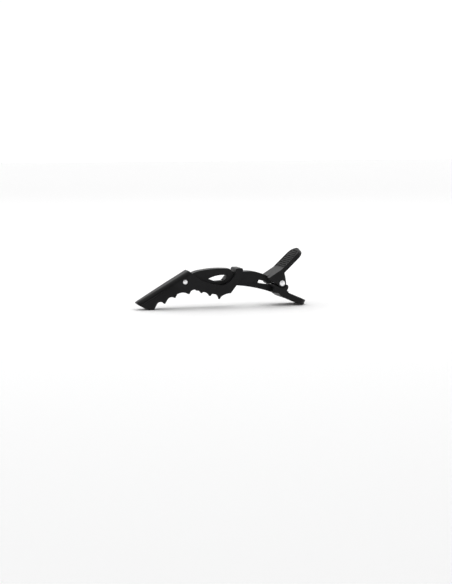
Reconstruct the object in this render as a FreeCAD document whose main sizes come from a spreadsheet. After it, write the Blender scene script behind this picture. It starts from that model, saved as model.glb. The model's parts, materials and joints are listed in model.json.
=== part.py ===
import FreeCAD, Part
import math
import os
import re
import Sketcher

# A double-hinged sectioning clip, in millimetres and degrees. It stands on the jaw's fang and
# on the end of the finger lever. X runs from the snout to the levers, Y across, Z up. The
# levers, the spine and the arm are drawn about the rear pin, the jaw about the front pin.
# Side outlines run anticlockwise as seen from -Y, with X to the right and Z up.

driving = {
    # where the two pins are
    "rear_pin_along": 38.11,
    "rear_pin_height": 14.8,
    "front_pin_reach": 63.7,
    "front_pin_rise": 2.4,
    # pins
    "rear_pin_radius": 1.25,
    "rear_head_radius": 1.8,
    "rear_head_height": 0.7,
    "front_pin_radius": 1.0,
    "front_head_radius": 1.5,
    "front_head_height": 0.65,
    "head_recess": 0.35,
    "recess_gap": 0.2,
    "running_gap": 0.06,
    "moving_gap": 0.3,
    # jaw
    "jaw_width": 12.0,
    "wall_thickness": 2.2,
    "roof_thickness": 1.6,
    "roof_rise": 5.6,
    "nose_drop": 12.56,
    "roof_rounding": 3.0,
    "roof_rear": 2.6,
    "snout_reach": 31.2,
    "snout_width": 8.8,
    "fang_land": 3.2,
    "bar_reach": 35.9,
    "bar_rise": 4.9,
    "bar_length": 4.8,
    "bar_thickness": 2.9,
    # upper arm
    "arm_boss_radius": 2.7,
    "hump_rise": 7.5,
    "hump_depth": 4.0,
    "spine_back_gap": 0.4,
    "base_width": 18.0,
    "ear_thickness": 2.0,
    "ear_radius": 2.75,
    "plate_thickness": 1.9,
    "plate_reach": 9.0,
    "plate_drop": 5.4,
    "pad_foot_back": 0.2,
    "pad_foot_rise": 9.0,
    "pad_width": 18.0,
    "pad_straight": 12.4,
    "pad_corner": 5.0,
    "pad_thickness": 2.9,
    "pad_pitch": 43.5,
    # lower arm
    "spine_width": 4.6,
    "spine_depth": 3.1,
    "spine_tip_gap": 12.2,
    "cradle_gap": 0.4,
    "lug_radius": 2.95,
    "lug_thickness": 2.0,
    "lever_width": 17.6,
    "lever_straight": 10.1,
    "lever_corner": 5.0,
    "lever_thickness": 3.7,
    "lever_pitch": 23.4,
    "lever_foot_reach": 3.3,
    "lever_foot_drop": 5.8,
    # spring
    "wire_radius": 0.45,
    "coil_radius": 2.25,
    "coil_pitch": 1.02,
    "full_turns": 4,
    "coil_side_gap": 0.35,
    "upper_leg_length": 10.6,
    "upper_leg_angle": 48.0,
    "lower_leg_length": 9.0,
    "lower_leg_angle": 31.0,
}

doc = FreeCAD.newDocument("SectioningClip")
sheet = doc.addObject("Spreadsheet::Sheet", "Sizes")
for row, (alias, size) in enumerate(driving.items(), start=1):
    sheet.set(f"A{row}", alias.replace("_", " "))
    sheet.set(f"B{row}", str(size))
    sheet.setAlias(f"B{row}", alias)
doc.recompute()


def bound(text):
    """The text as an expression of the document, with each alias pointed at the sheet."""
    return re.sub(r"[a-z]+(?:_[a-z]+)+", lambda word: f"Sizes.{word.group()}", text)


def value(text):
    return float(sheet.evalExpression(bound(text)))


def bind(item, **settings):
    """Binds properties to expressions; a double underscore stands for a dot."""
    for name, text in settings.items():
        item.setExpression(name.replace("__", "."), bound(text))


# Sketches and features


def arcBetween(start, end, radius):
    """The short arc from start to end; a positive radius turns left on the way."""
    chord = end - start
    left = FreeCAD.Vector(-chord.y, chord.x, 0).normalize()
    reach = math.sqrt(max(radius**2 - chord.Length**2 / 4, 0))
    centre = (start + end) / 2 + left * math.copysign(reach, radius)
    angles = [math.atan2(p.y - centre.y, p.x - centre.x) for p in (start, end)]
    if radius < 0:
        angles.reverse()
    circle = Part.Circle(centre, FreeCAD.Vector(0, 0, 1), abs(radius))
    return Part.ArcOfCircle(circle, angles[0], angles[1])


def drawOutline(sketch, steps):
    """A closed outline. A step is (x, y) for a line to that corner, or (x, y, radius) for an
    arc to it, all as texts that may hold aliases."""
    corners = [FreeCAD.Vector(value(step[0]), value(step[1]), 0) for step in steps]
    ends = []
    for index, step in enumerate(steps):
        start, end = corners[index - 1], corners[index]
        if len(step) == 2:
            edge = sketch.addGeometry(Part.LineSegment(start, end), False)
            ends.append((edge, 1, 2))
        else:
            radius = value(step[2])
            edge = sketch.addGeometry(arcBetween(start, end, radius), False)
            ends.append((edge, 1, 2) if radius > 0 else (edge, 2, 1))
    for index, step in enumerate(steps):
        edge, first, last = ends[index]
        following, start, unused = ends[(index + 1) % len(steps)]
        sketch.addConstraint(Sketcher.Constraint("Coincident", edge, last, following, start))
        for kind, text in (("DistanceX", step[0]), ("DistanceY", step[1])):
            rule = Sketcher.Constraint(kind, -1, 1, edge, last, value(text))
            bindConstraint(sketch, rule, text)
        if len(step) == 3:
            rule = Sketcher.Constraint("Radius", edge, abs(value(step[2])))
            bindConstraint(sketch, rule, f"abs({step[2]})")


def bindConstraint(sketch, rule, text):
    index = sketch.addConstraint(rule)
    if "_" in text:
        sketch.setExpression(f"Constraints[{index}]", bound(text))


def newSketch(body, name, plane, base=("0", "0", "0"), tilt="0"):
    """A sketch on one of the body's own planes, moved by base and then turned about its
    second axis by tilt."""
    sketch = body.newObject("Sketcher::SketchObject", name)
    role = next(f for f in body.Origin.OriginFeatures if f.Role == plane)
    sketch.AttachmentSupport = [(role, "")]
    sketch.MapMode = "FlatFace"
    sketch.AttachmentOffset = FreeCAD.Placement(
        FreeCAD.Vector(*[value(part) for part in base]),
        FreeCAD.Rotation(FreeCAD.Vector(0, 1, 0), value(tilt)),
    )
    for axis, text in zip("xyz", base):
        if "_" in text:
            sketch.setExpression(f"AttachmentOffset.Base.{axis}", bound(text))
    if "_" in tilt:
        sketch.setExpression("AttachmentOffset.Rotation.Angle", bound(tilt))
    return sketch


def outlineOn(body, name, plane, steps, **placing):
    sketch = newSketch(body, name, plane, **placing)
    drawOutline(sketch, steps)
    return sketch


def circleOn(body, name, radius, base=("0", "0", "0")):
    sketch = newSketch(body, name, "XZ_Plane", base=base)
    circle = Part.Circle(FreeCAD.Vector(0, 0, 0), FreeCAD.Vector(0, 0, 1), value(radius))
    edge = sketch.addGeometry(circle, False)
    sketch.addConstraint(Sketcher.Constraint("Coincident", edge, 3, -1, 1))
    bindConstraint(sketch, Sketcher.Constraint("Radius", edge, value(radius)), radius)
    return sketch


def feature(body, kind, name, sketch, length, symmetric=True, flipped=False):
    """A pad or a pocket of the sketch; a pocket that takes nothing away is an error."""
    before = body.Shape.Volume if body.Shape and not body.Shape.isNull() else 0
    item = body.newObject(f"PartDesign::{kind}", name)
    item.Profile = sketch
    item.Midplane = symmetric
    item.Reversed = flipped
    item.Length = value(length)
    bind(item, Length=length)
    doc.recompute()
    change = body.Shape.Volume - before
    if (change <= 0) == (kind == "Pad"):
        raise RuntimeError(f"{name} changed the volume by {change:.3f}")
    return item


def newBody(name, base):
    body = doc.addObject("PartDesign::Body", name)
    body.Label = name
    placeAt(body, base)
    return body


def placeAt(item, base):
    bind(item, Placement__Base__x=base[0], Placement__Base__z=base[1])


rearPin = ("rear_pin_along", "rear_pin_height")
frontPin = ("rear_pin_along - front_pin_reach", "rear_pin_height + front_pin_rise")

# Jaw

# The fang stands on the same surface as the lever's end.
fangDrop = "(rear_pin_height + front_pin_rise)"
roofFall = "((roof_rise + nose_drop) / snout_reach)"
roofAt = f"(roof_rise - {{0}} * {roofFall})"
fangHeel = "-0.648 * snout_reach"
jawChannel = "(jaw_width - 2 * wall_thickness)"

# Each tooth: its tip along the jaw as a share of the reach, its depth as a share of the
# fang's, the height of the steep flank behind it, and the radius of the valley after that as
# a share of the reach.
frontTeeth = [(-0.43, 0.78, 2.6, 0.103), (-0.22, 0.57, 2.2, 0.225)]
rearTeeth = [
    (0.065, 0.45, 1.9, 0.128),
    (0.3, 0.43, 0.6, 0.128),
    (0.455, 0.55, 1.1, 0.1),
    (0.625, 0.675, 1.4, 0.307),
]
tipFlat = 0.35
flankLean = 0.55


def toothSteps():
    """From the rear end of the fang's land to the foot of the yoke."""
    teeth = [("snout_reach", *tooth) for tooth in frontTeeth]
    teeth += [("bar_reach", *tooth) for tooth in rearTeeth]
    steps = []
    arriving = "-0.0866 * snout_reach"
    for reach, share, depth, climb, valley in teeth:
        along = f"{share} * {reach}"
        down = f"-{depth} * {fangDrop}"
        flankFoot = tipFlat + flankLean * climb
        steps.append((f"{along} - {tipFlat}", down, arriving))
        steps.append((f"{along} + {tipFlat}", down))
        steps.append((f"{along} + {flankFoot:.2f}", f"{down} + {climb}"))
        arriving = f"-{valley} * {reach}"
    steps.append(("0.84 * bar_reach", f"-0.47 * {fangDrop}", arriving))
    return steps


jawOutline = [
    ("-snout_reach + 0.7", roofAt.format("(snout_reach - 0.7)")),
    ("-snout_reach + 1.1", roofAt.format("(snout_reach - 0.7)") + " - 1.4", "0.8"),
    (f"{fangHeel} - fang_land", f"-{fangDrop}", "24"),
    (fangHeel, f"-{fangDrop}"),
    (f"{fangHeel} + 2.0", f"-{fangDrop} + 3.9"),
    *toothSteps(),
    ("bar_reach + 0.8", "bar_rise - 4.6"),
    ("bar_reach + bar_length / 2", "bar_rise - 1.2", "8"),
    ("bar_reach + bar_length / 2", "bar_rise + bar_thickness - 1.0"),
    ("bar_reach + bar_length / 2 - 1", "bar_rise + bar_thickness", "1"),
    ("bar_reach - bar_length / 2 + 1.2", "bar_rise + bar_thickness"),
    ("bar_reach - bar_length / 2", "bar_rise + bar_thickness - 1.2", "1.2"),
    ("bar_reach - bar_length / 2 - 0.2", "bar_rise - 0.6"),
    ("0.77 * bar_reach", "bar_rise - 6.6", "-14"),
    ("0.62 * bar_reach", "bar_rise - 7.5", "-7"),
    ("0.3 * bar_reach", "bar_rise - 4.3", "-60"),
    ("roof_rear", roofAt.format("(-roof_rear)"), "-40"),
]

jaw = newBody("jaw", frontPin)
jawSide = outlineOn(jaw, "JawSide", "XZ_Plane", jawOutline)
feature(jaw, "Pad", "JawBlock", jawSide, "jaw_width")

# The snout narrows towards a rounded nose: what lies outside its plan is cut away on each side.
sides = {"Near": -1, "Far": 1}
for name, side in sides.items():
    taper = [
        ("-0.3 * snout_reach", f"{side} * (jaw_width / 2 + 1)"),
        ("-0.3 * snout_reach", f"{side} * jaw_width / 2"),
        ("-snout_reach + 2.2", f"{side} * (snout_width / 2)"),
        ("-snout_reach + 0.2", f"{side} * (snout_width / 2 - 2.6)", f"{side} * 3.2"),
        ("-snout_reach - 1", f"{side} * (snout_width / 2 - 2.6)"),
        ("-snout_reach - 1", f"{side} * (jaw_width / 2 + 1)"),
    ]
    taperSketch = outlineOn(jaw, f"SnoutPlan{name}", "XY_Plane", taper)
    feature(jaw, "Pocket", f"SnoutTaper{name}", taperSketch, f"4 * {fangDrop}")


def edgesWhere(shape, test):
    return [f"Edge{index}" for index, edge in enumerate(shape.Edges, start=1) if test(edge)]


def isRoofEdge(edge):
    """Straight, out towards a side, and sloping as the roof does with both ends on it."""
    ends = [vertex.Point for vertex in edge.Vertexes]
    if len(ends) != 2 or abs(ends[0].x - ends[1].x) < value("roof_rounding"):
        return False
    onRoof = all(abs(end.z - value("roof_rise") - end.x * value(roofFall)) < 1e-4
                 for end in ends)
    return onRoof and min(abs(end.y) for end in ends) > value("snout_width") / 2 - 0.1


tapered = jaw.Tip
rounding = jaw.newObject("PartDesign::Fillet", "RoofRounding")
rounding.Base = (tapered, edgesWhere(tapered.Shape, isRoofEdge))
bind(rounding, Radius="roof_rounding")
doc.recompute()

underRoof = f"{roofAt} - roof_thickness / cos(atan({roofFall}))"
channel = [
    ("-0.77 * snout_reach", underRoof.format("(0.77 * snout_reach)")),
    (f"{fangHeel} + 0.1", f"-{fangDrop} - 1"),
    ("bar_reach + 20", f"-{fangDrop} - 1"),
    ("bar_reach + 20", "bar_rise"),
    ("bar_reach - bar_length / 2 - 1", "bar_rise"),
    ("bar_reach - bar_length / 2 - 1", "bar_rise + 9"),
    ("roof_rear", "bar_rise + 9"),
    ("roof_rear", underRoof.format("(-roof_rear)")),
]
channelSketch = outlineOn(jaw, "ChannelSide", "XZ_Plane", channel)
feature(jaw, "Pocket", "Channel", channelSketch, jawChannel)

# The far wall's rear teeth are shorter than the near wall's.
shortTeeth = [
    ("0.22 * bar_reach", f"-1.2 * {fangDrop}"),
    ("0.72 * bar_reach", f"-1.2 * {fangDrop}"),
    ("0.72 * bar_reach", f"-0.58 * {fangDrop}"),
    ("0.6 * bar_reach", f"-0.55 * {fangDrop}"),
    ("0.45 * bar_reach", f"-0.46 * {fangDrop}"),
    ("0.3 * bar_reach", f"-0.4 * {fangDrop}"),
    ("0.22 * bar_reach", f"-0.39 * {fangDrop}"),
]
shortSketch = outlineOn(jaw, "ShortTeethSide", "XZ_Plane", shortTeeth,
                        base=("0", "0", "-(jaw_width - wall_thickness) / 2"))
feature(jaw, "Pocket", "ShortTeeth", shortSketch, "wall_thickness")

jawBore = circleOn(jaw, "JawBoreCircle", "front_pin_radius")
feature(jaw, "Pocket", "JawBore", jawBore, "jaw_width + 2")
for name, side in sides.items():
    seat = circleOn(jaw, f"HeadSeatCircle{name}", "front_head_radius + recess_gap",
                    base=("0", "0", f"{-side} * (jaw_width / 2 - head_recess / 2)"))
    feature(jaw, "Pocket", f"HeadSeat{name}", seat, "head_recess")

# Upper arm

armWidth = f"({jawChannel} - 2 * moving_gap)"
front = "-front_pin_reach"
bar = "(-front_pin_reach + bar_reach)"
barFloor = "(front_pin_rise + bar_rise - moving_gap)"
humpTop = "(front_pin_rise + hump_rise)"
notch = "-0.276 * front_pin_reach"
# A long bow's radius goes with the square of the reach, so that the bow keeps its height.
bow = "{0} * front_pin_reach ^ 2"

armOutline = [
    (front, "front_pin_rise - arm_boss_radius", "arm_boss_radius"),
    (f"{front} + 8.6", "front_pin_rise - 1.4", "-40"),
    (f"{front} + 0.52 * bar_reach", f"{humpTop} - hump_depth - 1.0"),
    (f"{bar} - bar_length / 2 - 5.6", f"{humpTop} - hump_depth", "-24"),
    (f"{bar} + bar_length / 2 + 0.6", f"{barFloor} - 4.3", "-30"),
    (notch, "0.9"),
    (f"{notch} + 1.4", "0.7"),
    (f"{notch} + 2.6", "2.0"),
    (f"{notch} + 4.2", "2.0"),
    ("-8.8", "0.5", "-30"),
    ("-8.6", "-0.45"),
    ("-5.9", "-0.45"),
    ("-3.6", "4.4"),
    ("-4.5", "6.2"),
    ("-8.2", "4.4"),
    (f"{bar} + bar_length / 2 + moving_gap + 0.4", f"{barFloor} + 0.7", bow.format(0.0069)),
    (f"{bar} + bar_length / 2 + moving_gap", barFloor),
    (f"{bar} - bar_length / 2 - moving_gap - 0.6", barFloor),
    (f"{bar} - bar_length / 2 - moving_gap - 3.0", f"{humpTop} - 0.1"),
    (f"{front} + 11.4", f"{humpTop} - 0.7", "70"),
    (f"{front} + 4.2", "front_pin_rise + 4.4", "18"),
    (front, "front_pin_rise + arm_boss_radius"),
    (f"{front} - arm_boss_radius", "front_pin_rise", "arm_boss_radius"),
]

# Skirts hang from the arm before and behind its window. The spine's back lies in a groove
# that runs along both.
crown = "-0.565 * front_pin_reach"
crownTop = "(front_pin_rise - 0.1)"
tip = "(-front_pin_reach - 0.56 * snout_reach)"
tipUnder = "(front_pin_rise - spine_tip_gap)"
skirts = {
    "FrontSkirt": [
        (f"{front} + 8.0", "front_pin_rise - 1.5"),
        (f"{front} + 20.7", "front_pin_rise - 1.5"),
        (f"{front} + 20.7", "front_pin_rise - 0.5"),
        (f"{front} + 15.8", f"{humpTop} - hump_depth - 2.0"),
        (f"{front} + 15.2", f"{humpTop} - hump_depth - 1.4"),
        (f"{front} + 8.0", "front_pin_rise"),
    ],
    "RearSkirt": [
        (f"{crown} - 2.3", f"{crownTop} - 0.95"),
        (f"{notch} + 2.8", "0.2"),
        (f"{notch} + 3.4", "1.9"),
        (f"{notch} + 3.4", "3.0"),
        (bar, f"{barFloor} - 2"),
        (f"{bar} - bar_length / 2 - 4.0", f"{humpTop} - hump_depth + 0.4"),
    ],
}
spineGroove = [
    (f"{tip} + 0.8", "front_pin_rise - 20"),
    (f"{notch} + 4", "front_pin_rise - 20"),
    (f"{notch} + 4", "spine_back_gap - 0.12"),
    (crown, f"{crownTop} + spine_back_gap", bow.format(0.0419)),
    (f"{tip} + 0.8", f"{tipUnder} + 1.4 + spine_back_gap", "104"),
]

# The base plate climbs from its front edge to the foot of the thumb pad, with an ear below
# it on each side around the rear pin.
plateOutline = [
    ("-plate_reach + 0.4", "pad_foot_rise - plate_drop - 1.2"),
    ("-5.6", "0.8"),
    ("-0.7071 * ear_radius", "-0.7071 * ear_radius", "-9"),
    ("ear_radius", "0", "ear_radius"),
    ("2.3", "3.4"),
    ("1.5", "6.9"),
    ("-pad_foot_back", "pad_foot_rise"),
    ("-plate_reach", "pad_foot_rise - plate_drop"),
]
plateSlope = "(plate_drop / (plate_reach - pad_foot_back))"
underFoot = f"(pad_foot_rise - plate_thickness * sqrt(1 + {plateSlope}^2))"
betweenEars = [
    ("-16", "-12"),
    ("8", "-12"),
    ("8", f"{underFoot} + (8 + pad_foot_back) * {plateSlope}"),
    ("-16", f"{underFoot} - (16 - pad_foot_back) * {plateSlope}"),
]


def paddle(width, straight, corner):
    """Plan of a lever: straight sides, then two corners and one flat arc, all tangent."""
    half = f"{width} / 2"
    along = f"{straight} + {corner} * cos(35)"
    across = f"({half} - {corner} + {corner} * sin(35))"
    return [
        ("-2", f"-{half}"),
        (straight, f"-{half}"),
        (along, f"-{across}", corner),
        (along, across, f"{corner} + ({half} - {corner}) / sin(35)"),
        (straight, half, corner),
        ("-2", half),
    ]


upperArm = newBody("upper_arm", rearPin)
plateSketch = outlineOn(upperArm, "PlateSide", "XZ_Plane", plateOutline)
feature(upperArm, "Pad", "PlateBlock", plateSketch, "base_width")
betweenSketch = outlineOn(upperArm, "BetweenEars", "XZ_Plane", betweenEars)
feature(upperArm, "Pocket", "EarGap", betweenSketch, "base_width - 2 * ear_thickness")
armSketch = outlineOn(upperArm, "ArmSide", "XZ_Plane", armOutline)
feature(upperArm, "Pad", "Arm", armSketch, armWidth)
for name, steps in skirts.items():
    skirtSketch = outlineOn(upperArm, f"{name}Side", "XZ_Plane", steps)
    feature(upperArm, "Pad", name, skirtSketch, armWidth)
grooveSketch = outlineOn(upperArm, "SpineGrooveSide", "XZ_Plane", spineGroove)
feature(upperArm, "Pocket", "SpineGroove", grooveSketch, "spine_width + 2 * moving_gap")
padPlan = outlineOn(upperArm, "PadPlan", "XY_Plane",
                    paddle("pad_width", "pad_straight", "pad_corner"),
                    base=("-pad_foot_back", "0", "pad_foot_rise"), tilt="-pad_pitch")
feature(upperArm, "Pad", "ThumbPad", padPlan, "pad_thickness", symmetric=False, flipped=True)
earBore = circleOn(upperArm, "EarBoreCircle", "rear_pin_radius")
feature(upperArm, "Pocket", "EarBore", earBore, "base_width + 2")
bossBore = circleOn(upperArm, "BossBoreCircle", "front_pin_radius + running_gap",
                    base=("-front_pin_reach", "front_pin_rise", "0"))
feature(upperArm, "Pocket", "BossBore", bossBore, "jaw_width")

# Lower arm

spineOutline = [
    ("-6.0", "-5.9", bow.format(-0.02366)),
    ("-2.0", "-5.4"),
    ("-2.0", "-3.5"),
    ("-5.4", "-1.5"),
    ("-0.141 * front_pin_reach", "-1.0"),
    (crown, crownTop, bow.format(0.0419)),
    (f"{tip} + 0.8", f"{tipUnder} + 1.4", "104"),
    (tip, f"{tipUnder} + 0.6", "0.8"),
    (f"{tip} + 0.6", tipUnder, "0.6"),
    (crown, f"{crownTop} - spine_depth", "-112"),
]

cradle = "(ear_radius + cradle_gap)"
blockOutline = [
    ("-6.2", "-5.9"),
    ("-2.2", "-6.4"),
    ("1.6", "-9.7", "9"),
    ("4.8", "-10.4"),
    ("5.6", "-6.9"),
    ("3.5", "-5.6"),
    ("3.5", "-4.5"),
    ("4.3", "-2.7", "2.2"),
    ("3.8", "-1.3", "1.4"),
    (f"{cradle} * cos(18)", f"-{cradle} * sin(18)"),
    (f"-{cradle} * cos(50)", f"-{cradle} * sin(50)", f"-{cradle}"),
    ("-5.0", "-1.0", "9"),
]
lugOutline = [
    ("-0.8 * lug_radius", "-4.6"),
    ("0.8 * lug_radius", "-4.6"),
    ("lug_radius", "0"),
    ("0", "lug_radius", "lug_radius"),
    ("-lug_radius", "0", "lug_radius"),
]
# The coil fills the room between the lugs and its legs leave through the hook's middle.
coilTurns = "(full_turns + (180 - upper_leg_angle - lower_leg_angle) / 360)"
coilRoom = f"(coil_pitch * {coilTurns} + 2 * wire_radius + 2 * coil_side_gap)"
coilSlot = [
    ("-1.2", "-3.5"),
    ("3.3", "-5.75"),
    ("8", "-7.6"),
    ("8", "2"),
    ("-1.2", "2"),
]

lowerArm = newBody("lower_arm", rearPin)
spineSketch = outlineOn(lowerArm, "SpineSide", "XZ_Plane", spineOutline)
feature(lowerArm, "Pad", "Spine", spineSketch, "spine_width")
blockSketch = outlineOn(lowerArm, "BlockSide", "XZ_Plane", blockOutline)
feature(lowerArm, "Pad", "Block", blockSketch, "lever_width")
lugSketch = outlineOn(lowerArm, "LugSide", "XZ_Plane", lugOutline)
feature(lowerArm, "Pad", "Lugs", lugSketch, f"{coilRoom} + 2 * lug_thickness")
coilRoomSketch = circleOn(lowerArm, "CoilRoomCircle", cradle)
feature(lowerArm, "Pocket", "CoilRoom", coilRoomSketch, coilRoom)
coilSlotSketch = outlineOn(lowerArm, "CoilSlotSide", "XZ_Plane", coilSlot)
feature(lowerArm, "Pocket", "CoilSlot", coilSlotSketch, coilRoom)
leverPlan = outlineOn(lowerArm, "LeverPlan", "XY_Plane",
                      paddle("lever_width", "lever_straight", "lever_corner"),
                      base=("lever_foot_reach", "0", "-lever_foot_drop"), tilt="lever_pitch")
feature(lowerArm, "Pad", "Lever", leverPlan, "lever_thickness", symmetric=False, flipped=True)
lugBore = circleOn(lowerArm, "LugBoreCircle", "rear_pin_radius + running_gap")
feature(lowerArm, "Pocket", "LugBore", lugBore, "lever_width")
footCut = [
    ("0", "-rear_pin_height - 5"),
    ("40", "-rear_pin_height - 5"),
    ("40", "-rear_pin_height"),
    ("0", "-rear_pin_height"),
]
footSketch = outlineOn(lowerArm, "FootSide", "XZ_Plane", footCut)
feature(lowerArm, "Pocket", "LeverFoot", footSketch, "2 * lever_width")

# Pins


def rivet(name, base, shank, head, rise, seat):
    """Half of the pin's section, turned about Y. The heads are low domes."""
    pin = newBody(name, base)
    dome = f"(({head})^2 + ({rise})^2) / (2 * ({rise}))"
    section = newSketch(pin, f"{name}_section", "XY_Plane")
    drawOutline(section, [
        ("0", f"-({seat}) - {rise}"),
        (head, f"-({seat})", dome),
        (shank, f"-({seat})"),
        (shank, seat),
        (head, seat),
        ("0", f"{seat} + {rise}", dome),
    ])
    turned = pin.newObject("PartDesign::Revolution", f"{name}_turned")
    turned.Profile = section
    turned.ReferenceAxis = (section, ["V_Axis"])
    turned.Angle = 360
    doc.recompute()
    return pin


rivet("rear_pin", rearPin, "rear_pin_radius", "rear_head_radius", "rear_head_height",
      "base_width / 2")
rivet("front_pin", frontPin, "front_pin_radius", "front_head_radius", "front_head_height",
      "jaw_width / 2 - head_recess")

# Spring

# The wire winds anticlockwise, as seen from -Y, from the far side to the near side. Each leg
# leaves the coil along its tangent: the upper one towards the pad, the lower one towards
# the lever.
coil = doc.addObject("Part::Helix", "CoilLine")
bind(coil, Pitch="coil_pitch", Height=f"coil_pitch * {coilTurns}", Radius="coil_radius")
wire = doc.addObject("Part::Circle", "WireSection")
wire.Placement.Rotation = FreeCAD.Rotation(FreeCAD.Vector(1, 0, 0), 90)
bind(wire, Radius="wire_radius", Placement__Base__x="coil_radius")
doc.recompute()
windings = doc.addObject("Part::Sweep", "Windings")
windings.Sections = [wire]
windings.Spine = (coil, [f"Edge{index}" for index in range(1, len(coil.Shape.Edges) + 1)])
windings.Solid = True
windings.Frenet = True

# In the coil's own frame the wire starts at angle 0 and ends a part turn on, one coil higher.
turned = FreeCAD.Rotation(FreeCAD.Vector(0, 0, 1), 360 * value(coilTurns))
legs = {
    "UpperLeg": ("upper_leg_length", "0", 90, FreeCAD.Rotation()),
    "LowerLeg": ("lower_leg_length", coilTurns, -90, turned),
}
springPieces = [windings]
for name, (length, turns, lean, turn) in legs.items():
    leg = doc.addObject("Part::Cylinder", name)
    knuckle = doc.addObject("Part::Sphere", f"{name}Knuckle")
    bind(leg, Radius="wire_radius", Height=length)
    bind(knuckle, Radius="wire_radius")
    leg.Placement.Rotation = turn * FreeCAD.Rotation(FreeCAD.Vector(1, 0, 0), lean)
    for piece in (leg, knuckle):
        bind(piece, Placement__Base__x=f"coil_radius * cos({turns} * 360)",
             Placement__Base__y=f"coil_radius * sin({turns} * 360)",
             Placement__Base__z=f"coil_pitch * {turns}")
        springPieces.append(piece)
spring = doc.addObject("Part::MultiFuse", "torsion_spring")
spring.Label = "torsion_spring"
spring.Shapes = springPieces
# The coil's axis is laid along -Y and its start turned to where the upper leg is tangent.
spring.Placement.Rotation = FreeCAD.Rotation(
    FreeCAD.Vector(0, 1, 0), -value("upper_leg_angle") - 90
) * FreeCAD.Rotation(FreeCAD.Vector(1, 0, 0), 90)
placeAt(spring, rearPin)
bind(spring, Placement__Base__y=f"coil_pitch * {coilTurns} / 2")
doc.recompute()


nodes = [jaw, upperArm, lowerArm, doc.rear_pin, doc.front_pin, spring]
for item in doc.Objects:
    if "Invalid" in item.State or "Error" in item.State:
        raise RuntimeError(f"{item.Name}: {item.State}")
for node in nodes:
    shape = node.Shape
    if shape.isNull() or not shape.isValid() or len(shape.Solids) != 1:
        raise RuntimeError(f"{node.Label} is not one valid solid")

os.makedirs("parts", exist_ok=True)
for node in nodes:
    node.Shape.exportStep(f"parts/{node.Label}.step")
    print(node.Label, round(node.Shape.Volume, 1), node.Shape.BoundBox)
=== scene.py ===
import bpy
import json
import math
from mathutils import Matrix, Vector

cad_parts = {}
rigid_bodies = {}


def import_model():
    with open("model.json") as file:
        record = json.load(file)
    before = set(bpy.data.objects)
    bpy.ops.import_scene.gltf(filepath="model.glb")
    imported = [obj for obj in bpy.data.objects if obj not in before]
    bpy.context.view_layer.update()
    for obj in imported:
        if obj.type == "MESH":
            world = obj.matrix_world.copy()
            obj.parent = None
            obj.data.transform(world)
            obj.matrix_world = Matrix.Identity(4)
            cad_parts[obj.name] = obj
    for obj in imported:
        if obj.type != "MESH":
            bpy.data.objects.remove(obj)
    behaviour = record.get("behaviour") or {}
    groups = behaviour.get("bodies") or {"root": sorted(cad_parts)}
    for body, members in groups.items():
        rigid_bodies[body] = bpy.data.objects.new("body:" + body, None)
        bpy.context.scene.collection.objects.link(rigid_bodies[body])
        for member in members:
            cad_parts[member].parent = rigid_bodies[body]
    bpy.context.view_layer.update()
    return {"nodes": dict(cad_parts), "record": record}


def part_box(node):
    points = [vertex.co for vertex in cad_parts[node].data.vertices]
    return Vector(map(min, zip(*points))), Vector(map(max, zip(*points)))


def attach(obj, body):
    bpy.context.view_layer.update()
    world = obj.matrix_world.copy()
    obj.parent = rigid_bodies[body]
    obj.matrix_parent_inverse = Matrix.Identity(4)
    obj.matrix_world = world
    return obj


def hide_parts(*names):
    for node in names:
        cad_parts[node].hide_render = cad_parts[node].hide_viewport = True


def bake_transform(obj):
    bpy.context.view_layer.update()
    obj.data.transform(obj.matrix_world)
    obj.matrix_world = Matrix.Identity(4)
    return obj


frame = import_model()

mm = 0.001
hinges = {joint["name"]: Vector(joint["pos_m"]) for joint in frame["record"]["behaviour"]["joints"]}
rearPin = hinges["thumb_hinge"]


class Wire:
    # a shader socket that takes part in sums
    def __init__(self, tree, socket):
        self.tree = tree
        self.socket = socket

    def joined(self, operation, first, second):
        return self.tree.add("ShaderNodeMath", {"operation": operation}, {0: first, 1: second})

    def __add__(self, other):
        return self.joined("ADD", self, other)

    def __sub__(self, other):
        return self.joined("SUBTRACT", self, other)

    def __mul__(self, other):
        return self.joined("MULTIPLY", self, other)

    def __radd__(self, other):
        return self.joined("ADD", other, self)

    def __rsub__(self, other):
        return self.joined("SUBTRACT", other, self)

    def __rmul__(self, other):
        return self.joined("MULTIPLY", other, self)

    def above(self, low, high):
        # 0 up to low, 1 from high, smooth between
        settings = {"interpolation_type": "SMOOTHSTEP", "clamp": True}
        values = {"Value": self, "From Min": low, "From Max": high}
        return self.tree.add("ShaderNodeMapRange", settings, values)


mixSockets = {"first": 6, "second": 7, "result": 2}  # the colour sockets of a Mix node


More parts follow.
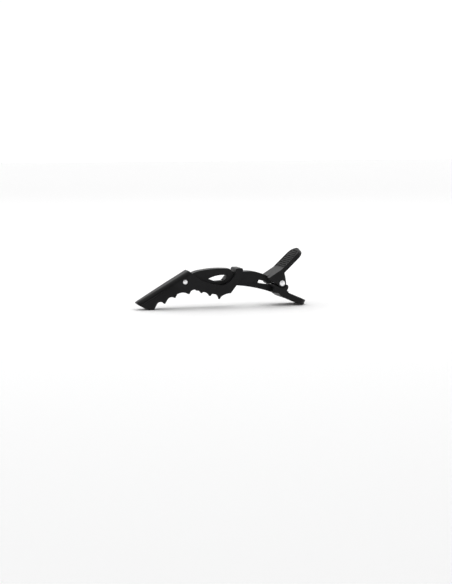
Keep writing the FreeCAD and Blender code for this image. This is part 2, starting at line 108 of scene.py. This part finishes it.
class Finish:
    # a material and its node tree; values here are set on the shader's own sockets
    def __init__(self, name, **constants):
        self.material = bpy.data.materials.new(name)
        self.material.use_nodes = True
        self.nodes = self.material.node_tree.nodes
        self.links = self.material.node_tree.links
        self.shader = self.nodes["Principled BSDF"]
        for socket, value in constants.items():
            self.shader.inputs[socket.replace("_", " ")].default_value = value

    def add(self, kind, settings=None, values=None, output=0):
        node = self.nodes.new(kind)
        for key, value in (settings or {}).items():
            setattr(node, key, value)
        for key, value in (values or {}).items():
            if isinstance(value, Wire):
                self.links.new(value.socket, node.inputs[key])
            else:
                node.inputs[key].default_value = value
        return Wire(self, node.outputs[output])

    def places(self):
        return self.add("ShaderNodeTexCoord", output="Object")

    def noise(self, places, speck, detail=2.0, roughness=0.5):
        # speck is the size of one speck, in metres
        values = {"Vector": places, "Scale": 1 / speck, "Detail": detail, "Roughness": roughness}
        return self.add("ShaderNodeTexNoise", {}, values, output="Fac")

    def mix(self, factor, first, second):
        # each colour is a wire or three numbers
        values = {"Factor": factor}
        for socket, colour in ((mixSockets["first"], first), (mixSockets["second"], second)):
            values[socket] = colour if isinstance(colour, Wire) else (*colour, 1)
        return self.add("ShaderNodeMix", {"data_type": "RGBA"}, values, output=mixSockets["result"])

    def bump(self, height, distance, strength):
        values = {"Height": height, "Distance": distance, "Strength": strength}
        return self.add("ShaderNodeBump", {}, values, output="Normal")

    def feed(self, **wires):
        for socket, wire in wires.items():
            self.links.new(wire.socket, self.shader.inputs[socket.replace("_", " ")])


mouldedPlastic = {
    "deep": (0.0035, 0.0035, 0.0038),
    "pale": (0.0065, 0.0065, 0.0068),
    "worn": (0.018, 0.018, 0.019),
    "specular": 0.14,
    "roughness": 0.46,
    "roughnessSpread": 0.12,
    "grainSize": 0.10 * mm,
    "grainDepth": 0.010 * mm,
    "grainStrength": 0.8,
    "flowSize": 9.0 * mm,
    "flowEdges": (0.35, 0.7),
    "scuffSize": 1.3 * mm,
    "scuffEdges": (0.60, 0.74),
    "edgePlain": 0.35,  # how rubbed an edge is between its scuffs
    "edgePaleness": 0.7,
    "edgeShine": 0.10,
}


def makeMouldedPlastic(settings):
    finish = Finish("moulded_black_plastic", Specular_IOR_Level=settings["specular"])
    places = finish.places()
    flow = finish.noise(places, settings["flowSize"], detail=3)
    grain = finish.noise(places, settings["grainSize"], detail=3, roughness=0.6)
    coarse = finish.noise(places, settings["grainSize"] * 4, detail=2)
    scuff = finish.noise(places, settings["scuffSize"], detail=5, roughness=0.65)
    scuff = scuff.above(*settings["scuffEdges"])
    # this attribute holds the rounded edges' wear and the beads' all-over paleness
    edge = finish.add("ShaderNodeAttribute", {"attribute_name": "edgeWearAndBeadPaleness"}, output="Fac")
    rubbed = edge * (settings["edgePlain"] + scuff * (1 - settings["edgePlain"]))
    body = finish.mix(flow.above(*settings["flowEdges"]), settings["deep"], settings["pale"])
    colour = finish.mix(rubbed * settings["edgePaleness"], body, settings["worn"])
    spread = settings["roughnessSpread"]
    roughness = settings["roughness"] + (grain - 0.5) * spread + (flow - 0.5) * spread
    height = grain * 0.7 + coarse * 0.3 - scuff * 0.15
    normal = finish.bump(height, settings["grainDepth"], settings["grainStrength"])
    roughness = roughness - rubbed * settings["edgeShine"]
    finish.feed(Base_Color=colour, Roughness=roughness, Normal=normal)
    return finish.material


platedSteel = {
    "bright": (0.92, 0.92, 0.93),
    "dull": (0.74, 0.74, 0.76),
    "roughness": 0.34,
    "scratchSize": 0.05 * mm,
    "scratchScale": (1, 0.12, 1),  # less than 1 draws the scratches out, here along the rivet
    "scratchEdges": (0.5, 0.8),
    "scratchRoughness": 0.08,
    "scratchDepth": 0.002 * mm,
    "scratchStrength": 0.3,
    "cloudSize": 1.4 * mm,
    "cloudEdges": (0.45, 0.8),
    "cloudRoughness": 0.06,
}


def makePlatedSteel(settings):
    finish = Finish("nickel_plated_steel", Metallic=1.0)
    places = finish.places()
    stretch = {"Vector": places, "Scale": settings["scratchScale"]}
    along = finish.add("ShaderNodeMapping", {}, stretch)
    scratch = finish.noise(along, settings["scratchSize"], detail=4, roughness=0.7)
    cloud = finish.noise(places, settings["cloudSize"], detail=3)
    tone = finish.mix(cloud.above(*settings["cloudEdges"]), settings["bright"], settings["dull"])
    rubbed = scratch.above(*settings["scratchEdges"]) * settings["scratchRoughness"]
    roughness = settings["roughness"] + rubbed + cloud * settings["cloudRoughness"]
    normal = finish.bump(scratch, settings["scratchDepth"], settings["scratchStrength"])
    finish.feed(Base_Color=tone, Roughness=roughness, Normal=normal)
    return finish.material


drawnWire = {
    "bright": (0.60, 0.60, 0.61),
    "dull": (0.33, 0.33, 0.35),
    "roughness": 0.30,
    "lineSize": 0.06 * mm,
    "lineRoughness": 0.14,
    "lineDepth": 0.004 * mm,
    "lineStrength": 0.6,
    "cloudSize": 1.6 * mm,
    "cloudEdges": (0.4, 0.75),
    "cloudRoughness": 0.1,
}


def makeDrawnWire(settings):
    finish = Finish("drawn_spring_wire", Metallic=1.0)
    places = finish.places()
    line = finish.noise(places, settings["lineSize"], detail=3, roughness=0.6)
    cloud = finish.noise(places, settings["cloudSize"], detail=4)
    tone = finish.mix(cloud.above(*settings["cloudEdges"]), settings["bright"], settings["dull"])
    drawn = line * settings["lineRoughness"]
    roughness = settings["roughness"] + drawn + cloud * settings["cloudRoughness"]
    normal = finish.bump(line, settings["lineDepth"], settings["lineStrength"])
    finish.feed(Base_Color=tone, Roughness=roughness, Normal=normal)
    return finish.material


plasticMaterial = makeMouldedPlastic(mouldedPlastic)
steelMaterial = makePlatedSteel(platedSteel)
wireMaterial = makeDrawnWire(drawnWire)
print("finishes made")


def selectOnly(*objects):
    if bpy.context.object and bpy.context.object.mode != "OBJECT":
        bpy.ops.object.mode_set(mode="OBJECT")
    bpy.ops.object.select_all(action="DESELECT")
    for item in objects:
        item.select_set(True)
    bpy.context.view_layer.objects.active = objects[0]


def editing(piece, mode="FACE"):
    selectOnly(piece)
    bpy.ops.object.mode_set(mode="EDIT")
    bpy.ops.mesh.select_mode(type=mode)
    bpy.ops.mesh.select_all(action="DESELECT")


def pickFaces(piece, wanted):
    # selects the faces that wanted says, and goes back to edit mode
    bpy.ops.object.mode_set(mode="OBJECT")
    for face in piece.data.polygons:
        face.select = bool(wanted(face))
    bpy.ops.object.mode_set(mode="EDIT")


def applyModifier(piece, kind, **settings):
    selectOnly(piece)
    modifier = piece.modifiers.new(kind.lower(), kind)
    for key, value in settings.items():
        setattr(modifier, key, value)
    bpy.ops.object.modifier_apply(modifier=modifier.name)


def wearCopy(node, name):
    # a copy of a CAD node with its triangles merged into whole faces
    selectOnly(frame["nodes"][node])
    bpy.ops.object.duplicate()
    piece = bpy.context.object
    bpy.ops.object.parent_clear(type="CLEAR_KEEP_TRANSFORM")
    piece.name = name
    piece.data.name = name
    piece.data.materials.clear()
    editing(piece, "VERT")
    bpy.ops.mesh.select_all(action="SELECT")
    bpy.ops.mesh.remove_doubles(threshold=0.001 * mm)
    bpy.ops.mesh.dissolve_limited(angle_limit=math.radians(0.6))
    bpy.ops.object.mode_set(mode="OBJECT")
    return piece


# every sharp edge is rounded, by as much as the faces beside it have room for
rounding = {
    "radius": 0.22 * mm,
    "sharpFrom": math.radians(30),
    "cornerFrom": math.radians(22),
    "smoothTo": math.radians(35),
    "segments": 3,
    "clearLength": 2.2,  # of the width: facets nearer than this to a corner are merged
    "shareOfRoom": 0.4,
    "facingFrom": -0.35,  # edges that run against each other at least this much share a room
}


def sortedKey(first, second):
    return (min(first, second), max(first, second))


def findSharp(mesh):
    # the sharp edges' keys, and those that meet at each vertex
    beside = {}
    for face in mesh.polygons:
        for key in face.edge_keys:
            beside.setdefault(key, []).append(face.normal)
    sharp = [key for key, normals in beside.items()
             if len(normals) == 2 and normals[0].angle(normals[1], 0) > rounding["sharpFrom"]]
    meeting = {}
    for key in sharp:
        for vertex in key:
            meeting.setdefault(vertex, []).append(key)
    return sharp, meeting


def isCorner(mesh, meeting, vertex):
    # anything but the middle of one smooth sharp line
    keys = meeting.get(vertex, [])
    if len(keys) != 2:
        return bool(keys)
    here = mesh.vertices[vertex].co
    before, after = (mesh.vertices[key[0] + key[1] - vertex].co for key in keys)
    return (before - here).angle(here - after, 0) > rounding["cornerFrom"]


def clearCorners(piece, room):
    # merges the facets of a curve that come too close to a corner to be rounded
    mesh = piece.data
    lines = True
    while lines:
        sharp, meeting = findSharp(mesh)
        crowded = set()
        for first, second in sharp:
            if (mesh.vertices[first].co - mesh.vertices[second].co).length < room:
                ends = [isCorner(mesh, meeting, vertex) for vertex in (first, second)]
                if ends[0] != ends[1]:
                    crowded.add(second if ends[0] else first)
        known = set(sharp)
        lines = [edge.index for edge in mesh.edges
                 if edge.key not in known and crowded.intersection(edge.key)]
        editing(piece, "EDGE")
        bpy.ops.object.mode_set(mode="OBJECT")
        for index in lines:
            mesh.edges[index].select = True
        bpy.ops.object.mode_set(mode="EDIT")
        bpy.ops.mesh.dissolve_edges(use_verts=True)
        bpy.ops.object.mode_set(mode="OBJECT")


def distanceTo(point, start, end):
    # from a point to the line between two others
    side = end - start
    share = max(0, min(1, (point - start).dot(side) / max(side.length_squared, 1e-18)))
    return (start + side * share - point).length


def findWidths(mesh, width):
    # less beside a narrow face, and the same all along a smooth line
    sharp, meeting = findSharp(mesh)
    widths = dict.fromkeys(sharp, width)
    for face in mesh.polygons:
        loop = list(face.vertices)
        sides = [pair for pair in zip(loop, loop[1:] + loop[:1]) if sortedKey(*pair) in widths]
        for number, pair in enumerate(sides):
            start, end = (mesh.vertices[vertex].co for vertex in pair)
            for other in sides[number + 1:]:
                low, high = (mesh.vertices[vertex].co for vertex in other)
                lean = (end - start).normalized().dot((high - low).normalized())
                if lean < rounding["facingFrom"] and not set(pair) & set(other):
                    gap = min(distanceTo(start, low, high), distanceTo(end, low, high),
                              distanceTo(low, start, end), distanceTo(high, start, end))
                    for key in (sortedKey(*pair), sortedKey(*other)):
                        widths[key] = min(widths[key], rounding["shareOfRoom"] * gap)
    lines = [keys for vertex, keys in meeting.items() if not isCorner(mesh, meeting, vertex)]
    uneven = True
    while uneven:
        uneven = False
        for one, two in lines:
            if widths[one] != widths[two]:
                widths[one] = widths[two] = min(widths[one], widths[two])
                uneven = True
    return widths


def roundEdges(piece):
    # the rounded faces are marked for the plastic's wear
    width = rounding["radius"]
    before = len(piece.data.polygons)
    clearCorners(piece, width * rounding["clearLength"])
    mesh = piece.data
    widths = findWidths(mesh, width)
    weight = mesh.attributes.new("bevel_weight_edge", "FLOAT", "EDGE")
    weight.data.foreach_set("value", [widths.get(edge.key, 0) / width for edge in mesh.edges])
    mesh.materials.append(plasticMaterial)
    mesh.materials.append(plasticMaterial)  # a second slot, only to tell the rounded faces apart
    applyModifier(piece, "BEVEL", width=width, segments=rounding["segments"], limit_method="WEIGHT",
                  use_clamp_overlap=False, material=1, miter_outer="MITER_SHARP")
    mesh = piece.data
    worn = [0.0] * len(mesh.vertices)
    for face in mesh.polygons:
        if face.material_index == 1:
            for vertex in face.vertices:
                worn[vertex] = 1.0
            face.material_index = 0
    mesh.attributes.new("edgeWearAndBeadPaleness", "FLOAT", "POINT").data.foreach_set("value", worn)
    mesh.attributes.remove(mesh.attributes["bevel_weight_edge"])
    mesh.materials.pop(index=1)
    print(piece.name, before, "faces,", len(mesh.polygons), "rounded")


def smooth(piece):
    selectOnly(piece)
    bpy.ops.object.shade_smooth_by_angle(angle=rounding["smoothTo"])
    applyModifier(piece, "WEIGHTED_NORMAL", mode="FACE_AREA_WITH_ANGLE", keep_sharp=True)


def settle(piece, body, node):
    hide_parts(node)
    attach(piece, body)


# the gripping faces: a sunk panel with rows of small beads
grip = {
    "thumbWay": (-0.69, 0, 0.72),  # which way each gripping face looks
    "fingerWay": (-0.40, 0, -0.92),
    "lean": math.radians(8),  # how far a face may lean from that
    "rim": 0.75 * mm,
    "sink": 0.35 * mm,
    "beadAlong": 0.95 * mm,
    "beadAcross": 1.65 * mm,
    "beadRise": 0.45 * mm,
    "pitchAlong": 1.50 * mm,
    "pitchAcross": 2.25 * mm,
    "edgeRoom": 0.60 * mm,
    # how much paler than the body each whole bead is made, through the same mix as a rubbed edge
    "beadPaleness": 0.6,
}


def sinkPanel(piece, direction, settings):
    # returns the sunk face's corners, its middle and its three axes
    towards = Vector(direction).normalized()
    facing = [face for face in piece.data.polygons
              if face.normal.angle(towards) < settings["lean"]]
    middle = max(facing, key=lambda face: face.area).center.copy()
    editing(piece)
    pickFaces(piece, lambda face: (face.center - middle).length < 0.01 * mm)
    bpy.ops.mesh.inset(thickness=settings["rim"], depth=0)
    bpy.ops.mesh.inset(thickness=settings["sink"] * 0.6, depth=-settings["sink"])
    bpy.ops.object.mode_set(mode="OBJECT")
    sunk = max((face for face in piece.data.polygons if face.select), key=lambda face: face.area)
    corners = [piece.data.vertices[index].co.copy() for index in sunk.vertices]
    normal = sunk.normal.copy()
    across = Vector((0, 1, 0))
    along = across.cross(normal).normalized()
    return corners, sunk.center.copy(), along, across, normal


def inside(point, corners, room):
    # True where a flat point lies in the outline and at least room from each of its sides
    crossings = 0
    for start, end in zip(corners, corners[1:] + corners[:1]):
        if distanceTo(point, start, end) < room:
            return False
        if (start.y > point.y) != (end.y > point.y):
            share = (point.y - start.y) / (end.y - start.y)
            crossings += point.x < start.x + share * (end.x - start.x)
    return crossings % 2 == 1


def makeBead(settings):
    # a low rounded hexagon, modelled once at the origin
    bpy.ops.mesh.primitive_cylinder_add(vertices=6, radius=0.5, depth=1, end_fill_type="NGON")
    bead = bpy.context.object
    bead.name = "bead"
    editing(bead)
    pickFaces(bead, lambda face: face.normal.z > 0.9)
    for thickness, depth in ((0.12, 0.10), (0.16, 0.05)):  # two steps round the top off
        bpy.ops.mesh.inset(thickness=thickness, depth=depth)
    bpy.ops.object.mode_set(mode="OBJECT")
    bead.scale = (settings["beadAlong"], settings["beadAcross"], settings["beadRise"] * 1.6)
    bpy.ops.object.transform_apply(location=False, rotation=False, scale=True)
    return bead


def addBeads(piece, panel, settings):
    corners, middle, along, across, normal = panel
    turn = Matrix((along, across, normal)).transposed().to_4x4()
    offsets = [corner - middle for corner in corners]
    flat = [Vector((offset.dot(along), offset.dot(across), 0)) for offset in offsets]
    reach = max(point.length for point in flat)
    bead = makeBead(settings)
    lift = settings["beadRise"] * 0.2
    beads = []
    rows = int(reach / settings["pitchAlong"]) + 1
    columns = int(reach / settings["pitchAcross"]) + 1
    for row in range(-rows, rows + 1):
        for column in range(-columns, columns + 1):
            shift = 0.5 * (row % 2)
            place = Vector((row * settings["pitchAlong"],
                            (column + shift) * settings["pitchAcross"], 0))
            if inside(place, flat, settings["edgeRoom"]):
                copied = bead.copy()
                copied.data = bead.data.copy()
                seat = middle + turn @ place + normal * lift
                copied.matrix_world = Matrix.Translation(seat) @ turn
                bpy.context.collection.objects.link(copied)
                beads.append(copied)
    bpy.data.objects.remove(bead)
    selectOnly(beads[0])
    for copied in beads:
        copied.select_set(True)
    bpy.ops.object.join()
    joined = bpy.context.object
    bpy.ops.object.transform_apply(location=True, rotation=True, scale=True)
    joined.data.materials.append(plasticMaterial)
    # every bead is made paler all over, not only at its edges
    wear = joined.data.attributes.new("edgeWearAndBeadPaleness", "FLOAT", "POINT")
    wear.data.foreach_set("value", [settings["beadPaleness"]] * len(joined.data.vertices))
    selectOnly(piece, joined)
    bpy.ops.object.join()
    print(piece.name, len(beads), "beads")


jaw = wearCopy("jaw", "toothed_jaw")
roundEdges(jaw)
smooth(jaw)
settle(jaw, "jaw", "jaw")

thumbLever = wearCopy("upper_arm", "thumb_lever")
thumbPanel = sinkPanel(thumbLever, grip["thumbWay"], grip)
roundEdges(thumbLever)
addBeads(thumbLever, thumbPanel, grip)
smooth(thumbLever)
settle(thumbLever, "upper_arm", "upper_arm")

fingerLever = wearCopy("lower_arm", "finger_lever")
fingerPanel = sinkPanel(fingerLever, grip["fingerWay"], grip)
roundEdges(fingerLever)
addBeads(fingerLever, fingerPanel, grip)
smooth(fingerLever)
settle(fingerLever, "lower_arm", "lower_arm")
print("mouldings made")


# the rivets: a shank with a domed head at each end
rivets = {
    "rearRise": 0.70 * mm,  # the heads' heights
    "frontRise": 0.65 * mm,
    "sides": 56,
    "shankShare": 0.62,  # of the head's radius
    "underShare": 0.97,
    "lipShare": 0.94,
    "rimShare": 0.22,  # of the head's height, straight up from the seat
    "rimStart": 0.25,  # of the rim's height
    "lipStart": 1.35,
    "domeRings": 7,
    "smoothTo": math.radians(40),
}


def domeRings(radius, rise):
    # pairs of height above the seat and radius, from the head's underside to its top
    rim = rise * rivets["rimShare"]
    lip = radius * rivets["lipShare"]
    foot = rim * rivets["lipStart"]
    rings = [(0, radius * rivets["underShare"]), (rim * rivets["rimStart"], radius),
             (rim, radius), (foot, lip)]
    for number in range(1, rivets["domeRings"]):
        angle = number / rivets["domeRings"] * math.pi / 2
        rings.append((foot + (rise - foot) * math.sin(angle), lip * math.cos(angle)))
    return rings


def drawOut(length):
    bpy.ops.mesh.extrude_region_move(TRANSFORM_OT_translate={"value": (0, length, 0)})


def buildRivet(node, name, body, rise):
    low, high = (Vector(corner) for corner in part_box(node))
    radius = (high.x - low.x) / 2
    shank = radius * rivets["shankShare"]
    seat = (high.y - low.y) / 2 - rise
    bpy.ops.object.select_all(action="DESELECT")
    bpy.ops.mesh.primitive_cylinder_add(vertices=rivets["sides"], radius=shank, depth=2 * seat,
                                        rotation=(math.pi / 2, 0, 0))
    rivet = bpy.context.object
    rivet.name = name
    bpy.ops.object.transform_apply(location=True, rotation=True, scale=True)
    for way in (-1, 1):
        editing(rivet)
        pickFaces(rivet, lambda face: min(face.normal.y * way, face.center.y * way / seat) > 0.9)
        height = 0
        width = shank
        for ringHeight, ringRadius in domeRings(radius, rise):
            drawOut(way * (ringHeight - height))
            scale = ringRadius / width
            bpy.ops.transform.resize(value=(scale, 1, scale), center_override=(0, way * seat, 0))
            height, width = ringHeight, ringRadius
        drawOut(way * (rise - height))
        bpy.ops.mesh.merge(type="CENTER")
        bpy.ops.object.mode_set(mode="OBJECT")
    editing(rivet)
    bpy.ops.mesh.select_all(action="SELECT")
    bpy.ops.mesh.normals_make_consistent(inside=False)
    bpy.ops.object.mode_set(mode="OBJECT")
    rivet.location = (low + high) / 2
    selectOnly(rivet)
    bpy.ops.object.transform_apply(location=True, rotation=True, scale=True)
    bpy.ops.object.shade_smooth_by_angle(angle=rivets["smoothTo"])
    rivet.data.materials.append(steelMaterial)
    settle(rivet, body, node)
    print(name, len(rivet.data.polygons), "faces")


buildRivet("rear_pin", "rear_rivet", "upper_arm", rivets["rearRise"])
buildRivet("front_pin", "front_rivet", "jaw", rivets["frontRise"])


# the spring: a coil round the rear pin and its two legs
springShape = {
    "wireRadius": 0.45 * mm,
    "coilRadius": 2.25 * mm,
    "pitch": 1.02 * mm,
    "fullTurns": 4,
    "upperLength": 10.6 * mm,
    "upperAngle": math.radians(48),
    "lowerLength": 9.0 * mm,
    "lowerAngle": math.radians(31),
    "stepsPerTurn": 40,
    "legPoints": (0.08, 0.33, 0.66, 1),  # shares of a leg's length, from the coil outward
    "smoothTo": math.radians(50),
}


def springPoints(shape):
    # the wire's middle line, from the upper leg's end to the lower leg's
    turned = 2 * math.pi * shape["fullTurns"] + math.pi - shape["upperAngle"] - shape["lowerAngle"]
    height = shape["pitch"] * turned / (2 * math.pi)
    steps = round(shape["stepsPerTurn"] * turned / (2 * math.pi))
    first = shape["upperAngle"] + math.pi / 2
    coil = []
    for step in range(steps + 1):
        angle = first + turned * step / steps
        outward = Vector((math.cos(angle), 0, math.sin(angle)))
        along = Vector((0, height / 2 - height * step / steps, 0))
        coil.append(rearPin + outward * shape["coilRadius"] + along)
    upper = Vector((math.cos(shape["upperAngle"]), 0, math.sin(shape["upperAngle"])))
    lower = Vector((math.cos(-shape["lowerAngle"]), 0, math.sin(-shape["lowerAngle"])))
    upperLeg = [coil[0] + upper * shape["upperLength"] * share for share in shape["legPoints"]]
    lowerLeg = [coil[-1] + lower * shape["lowerLength"] * share for share in shape["legPoints"]]
    return upperLeg[::-1] + coil + lowerLeg, height


def buildSpring(shape):
    points, height = springPoints(shape)
    line = bpy.data.curves.new("spring_line", "CURVE")
    line.dimensions = "3D"
    spline = line.splines.new("POLY")
    spline.points.add(len(points) - 1)
    for point, place in zip(spline.points, points):
        point.co = (*place, 1)
    line.bevel_depth = shape["wireRadius"]
    line.bevel_resolution = 4
    line.use_fill_caps = True
    spring = bpy.data.objects.new("coil_spring", line)
    bpy.context.collection.objects.link(spring)
    selectOnly(spring)
    bpy.ops.object.convert(target="MESH")
    spring = bpy.context.object
    editing(spring)
    bpy.ops.mesh.select_all(action="SELECT")
    bpy.ops.mesh.remove_doubles(threshold=0.001 * mm)
    bpy.ops.mesh.normals_make_consistent(inside=False)
    bpy.ops.object.mode_set(mode="OBJECT")
    bpy.ops.object.shade_smooth_by_angle(angle=shape["smoothTo"])
    spring.data.materials.append(wireMaterial)
    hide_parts("torsion_spring")
    side = Vector((0, height / 2, 0))
    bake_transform(spring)
    print("coil_spring", len(spring.data.polygons), "faces")


buildSpring(springShape)


# the floor, the light and the camera
stageSizes = {
    "floorSize": 6.0,
    "floorColour": (0.965, 0.965, 0.965),
    "worldStrength": 1.03,
    "softboxPower": 2.2,
    "softboxSize": 0.8,
    "softboxPlace": (0.1, 0.55, 0.75),
    "cardWidth": 4.2,
    "cardHeight": 1.2,
    "cardPlace": (-0.4, -1.9, 1.3),
}

bpy.ops.object.select_all(action="DESELECT")
bpy.ops.mesh.primitive_plane_add(size=stageSizes["floorSize"], location=(0, 0, 0))
floor = bpy.context.object
floor.name = "floor"
paper = Finish("white_paper", Roughness=0.9)
paper.shader.inputs["Base Color"].default_value = (*stageSizes["floorColour"], 1)
floor.data.materials.append(paper.material)

world = bpy.data.worlds.new("studio")
bpy.context.scene.world = world
world.use_nodes = True
world.node_tree.nodes["Background"].inputs["Strength"].default_value = stageSizes["worldStrength"]
world.node_tree.nodes["Background"].inputs["Color"].default_value = (1, 1, 1, 1)

softboxPlace = Vector(stageSizes["softboxPlace"])
bpy.ops.object.light_add(type="AREA", location=softboxPlace,
                         rotation=softboxPlace.to_track_quat("Z", "Y").to_euler())
softbox = bpy.context.object
softbox.name = "softbox"
softbox.data.energy = stageSizes["softboxPower"]
softbox.data.size = stageSizes["softboxSize"]
softbox.visible_camera = False

# a black card in front, out of view, keeps the near sides dark
bpy.ops.mesh.primitive_plane_add(size=1, location=stageSizes["cardPlace"],
                                 rotation=(math.pi / 2, 0, 0))
card = bpy.context.object
card.name = "black_card"
card.scale = (stageSizes["cardWidth"], stageSizes["cardHeight"], 1)
blackCard = Finish("black_card", Roughness=1.0, Specular_IOR_Level=0.0)
blackCard.shader.inputs["Base Color"].default_value = (0.004, 0.004, 0.004, 1)
card.data.materials.append(blackCard.material)
card.visible_camera = False

view = {
    "azimuth": -17.0,
    "elevation": 6.5,
    "distance": 1.0,
    "aim": (0.00335, 0.00096, 0.00924),
    "lens": 124.0,
}

aim = Vector(view["aim"])
azimuth = math.radians(view["azimuth"])
elevation = math.radians(view["elevation"])
backward = Vector((math.sin(azimuth) * math.cos(elevation),
                   -math.cos(azimuth) * math.cos(elevation), math.sin(elevation)))
bpy.ops.object.camera_add(location=aim + backward * view["distance"])
camera = bpy.context.object
camera.rotation_euler = backward.to_track_quat("Z", "Y").to_euler()
camera.data.sensor_fit = "HORIZONTAL"
camera.data.sensor_width = 36
camera.data.lens = view["lens"]
camera.data.clip_start = 0.01
bpy.context.scene.camera = camera
bpy.context.scene.view_settings.view_transform = "Standard"
